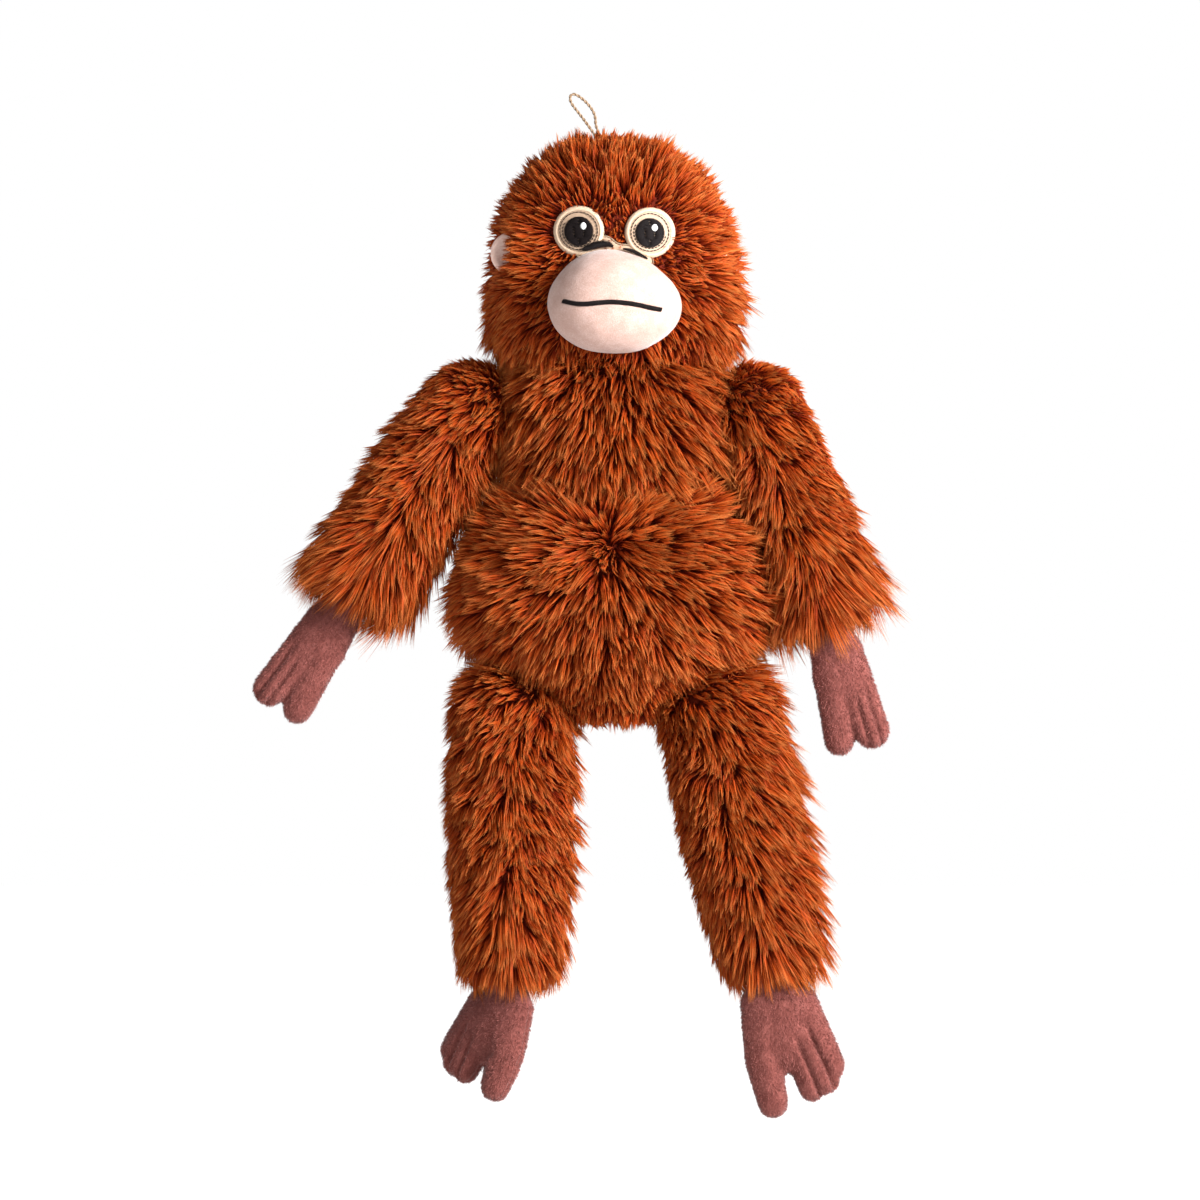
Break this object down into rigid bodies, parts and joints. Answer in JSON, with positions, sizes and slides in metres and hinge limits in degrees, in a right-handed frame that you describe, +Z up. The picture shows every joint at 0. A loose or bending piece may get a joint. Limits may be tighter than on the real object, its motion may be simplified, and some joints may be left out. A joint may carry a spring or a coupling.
{
  "type": "stuffed orangutan",
  "caption": "Hanging plush orangutan with long rust pile, a pale stuffed muzzle, embroidered face, velour hands and feet, and limbs that swing at their sewn seams.",
  "frame": {"origin": "the point of the crown seam where the hang loop is sewn in, on the body's middle plane", "axes": "+Z up through the hang loop, -Y the way the face looks, +X towards the animal's own left"},
  "size_m": [0.3569, 0.1383, 0.5765],
  "materials": {
    "rust_pile": "long tufted pile, dark at the roots and light at the tips",
    "fibre_filling": "loose white polyester fibre",
    "pale_velour": "short napped cloth",
    "pink_velour": "short napped cloth",
    "mauve_velour": "short napped cloth",
    "cream_satin": "woven satin with a stitched border",
    "white_thread": "embroidery",
    "black_thread": "embroidery",
    "rust_thread": "sewing thread",
    "brown_twine": "two-ply twine"
  },
  "bodies": {
    "head": {"head_front_cover": "rust_pile", "head_back_cover": "rust_pile", "head_stuffing": "fibre_filling", "muzzle_cover": "pale_velour", "muzzle_stuffing": "fibre_filling", "mouth_stitching": "black_thread", "nose_patch": "cream_satin", "nostril_stitching": "black_thread", "eye_patch_left": "cream_satin", "eye_patch_right": "cream_satin", "eye_stitching_left": "black_thread", "eye_stitching_right": "black_thread", "eye_glint_left": "white_thread", "eye_glint_right": "white_thread", "ear_left": "pink_velour", "ear_right": "pink_velour", "hang_loop": "brown_twine"},
    "torso": {"chest_cover": "rust_pile", "belly_cover": "rust_pile", "back_cover_left": "rust_pile", "back_cover_right": "rust_pile", "chest_stuffing": "fibre_filling", "belly_stuffing": "fibre_filling", "closing_seam": "rust_thread"},
    "arm_left": {"arm_cover_left": "rust_pile", "arm_stuffing_left": "fibre_filling"},
    "hand_left": {"hand_palm_left": "mauve_velour", "hand_back_left": "mauve_velour", "hand_stuffing_left": "fibre_filling"},
    "leg_left": {"leg_cover_left": "rust_pile", "leg_stuffing_left": "fibre_filling"},
    "foot_left": {"foot_top_left": "mauve_velour", "foot_sole_left": "mauve_velour", "foot_stuffing_left": "fibre_filling"},
    "arm_right": {"arm_cover_right": "rust_pile", "arm_stuffing_right": "fibre_filling"},
    "hand_right": {"hand_palm_right": "mauve_velour", "hand_back_right": "mauve_velour", "hand_stuffing_right": "fibre_filling"},
    "leg_right": {"leg_cover_right": "rust_pile", "leg_stuffing_right": "fibre_filling"},
    "foot_right": {"foot_top_right": "mauve_velour", "foot_sole_right": "mauve_velour", "foot_stuffing_right": "fibre_filling"}
  },
  "joints": [
    {"name": "neck_turn", "type": "hinge", "parent": "head", "child": "torso", "pos_m": [0, 0, -0.1202], "axis": [0, 0, 1], "range_deg": [-35, 35], "stiffness_Nm_per_rad": 0.12},
    {"name": "shoulder_left", "type": "hinge", "parent": "torso", "child": "arm_left", "pos_m": [0.08, 0, -0.148], "axis": [-1, 0, 0], "range_deg": [-40, 90], "stiffness_Nm_per_rad": 0.02},
    {"name": "wrist_left", "type": "hinge", "parent": "arm_left", "child": "hand_left", "pos_m": [0.11879, 0, -0.26261], "axis": [-0.972, 0, -0.2351], "range_deg": [-40, 40], "stiffness_Nm_per_rad": 0.01},
    {"name": "hip_left", "type": "hinge", "parent": "torso", "child": "leg_left", "pos_m": [0.057, 0, -0.318], "axis": [-1, 0, 0], "range_deg": [-25, 90], "stiffness_Nm_per_rad": 0.03},
    {"name": "ankle_left", "type": "hinge", "parent": "leg_left", "child": "foot_left", "pos_m": [0.08819, 0, -0.46472], "axis": [-0.9781, 0, -0.2079], "range_deg": [-34, 34], "stiffness_Nm_per_rad": 0.02},
    {"name": "shoulder_right", "type": "hinge", "parent": "torso", "child": "arm_right", "pos_m": [-0.08, 0, -0.148], "axis": [-1, 0, 0], "range_deg": [-40, 90], "stiffness_Nm_per_rad": 0.02},
    {"name": "wrist_right", "type": "hinge", "parent": "arm_right", "child": "hand_right", "pos_m": [-0.1459, 0, -0.24948], "axis": [-0.7986, 0, 0.6018], "range_deg": [-40, 40], "stiffness_Nm_per_rad": 0.01},
    {"name": "hip_right", "type": "hinge", "parent": "torso", "child": "leg_right", "pos_m": [-0.057, 0, -0.318], "axis": [-1, 0, 0], "range_deg": [-25, 90], "stiffness_Nm_per_rad": 0.03},
    {"name": "ankle_right", "type": "hinge", "parent": "leg_right", "child": "foot_right", "pos_m": [-0.05831, 0, -0.46799], "axis": [-0.6078, 0.766, 0.2093], "range_deg": [-34, 34], "stiffness_Nm_per_rad": 0.02}
  ]
}
